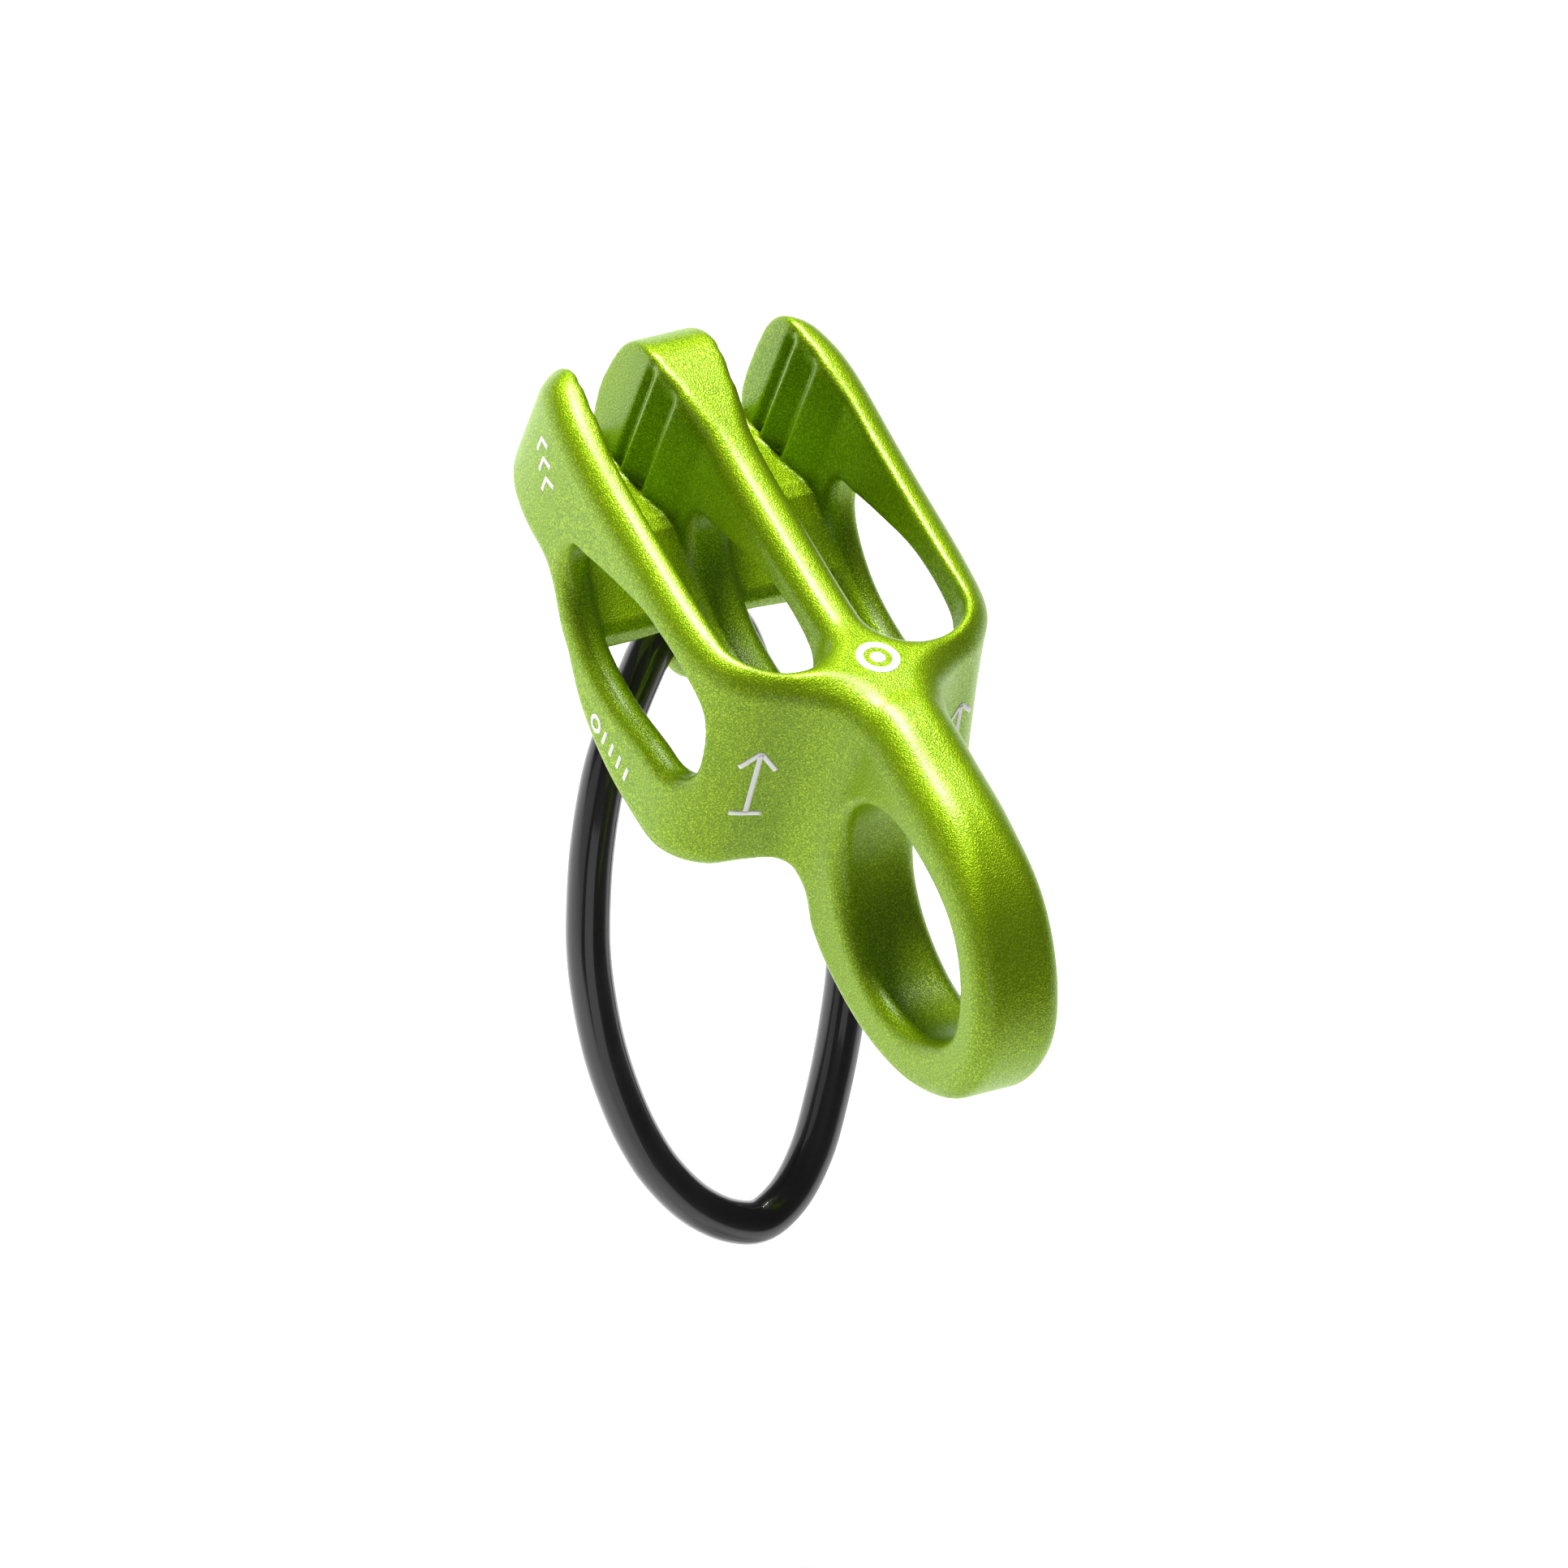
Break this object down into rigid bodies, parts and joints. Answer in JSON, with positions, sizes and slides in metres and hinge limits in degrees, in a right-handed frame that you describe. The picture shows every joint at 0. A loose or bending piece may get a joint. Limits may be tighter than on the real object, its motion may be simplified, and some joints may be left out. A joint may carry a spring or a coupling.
{
  "type": "tube-style rope descender",
  "caption": "Forged tube-style rope descender with two rope slots, stepped friction fins, a large anchor eye and a swinging coated wire keeper loop.",
  "frame": {"origin": "middle of the anchor eye, on the body's mid plane", "axes": "+X along the body from the brake end to the eye end, +Y across the two rope slots, +Z out of the front, where the ropes go in"},
  "size_m": [0.0836, 0.0327, 0.0758],
  "materials": {
    "anodised_body": "hot forged, bead blasted, lime green anodised, satin with a fine sparkle",
    "jacket_plastic": "extruded black plastic coating, smooth and half gloss",
    "wire_steel": "stranded galvanised steel wire",
    "ferrule_metal": "pressed aluminium ferrule, dull",
    "sleeve_plastic": "black heat-shrink sleeve, satin"
  },
  "bodies": {
    "descender": {"body": "anodised_body"},
    "keeper": {"keeper_jacket": "jacket_plastic", "keeper_wire": "wire_steel", "keeper_ferrule": "ferrule_metal", "keeper_sleeve": "sleeve_plastic"}
  },
  "joints": [
    {"name": "keeper_swing", "type": "hinge", "parent": "descender", "child": "keeper", "pos_m": [-0.0457, 0, -0.0098], "axis": [0, 1, 0], "range_deg": [-33, 130]}
  ]
}
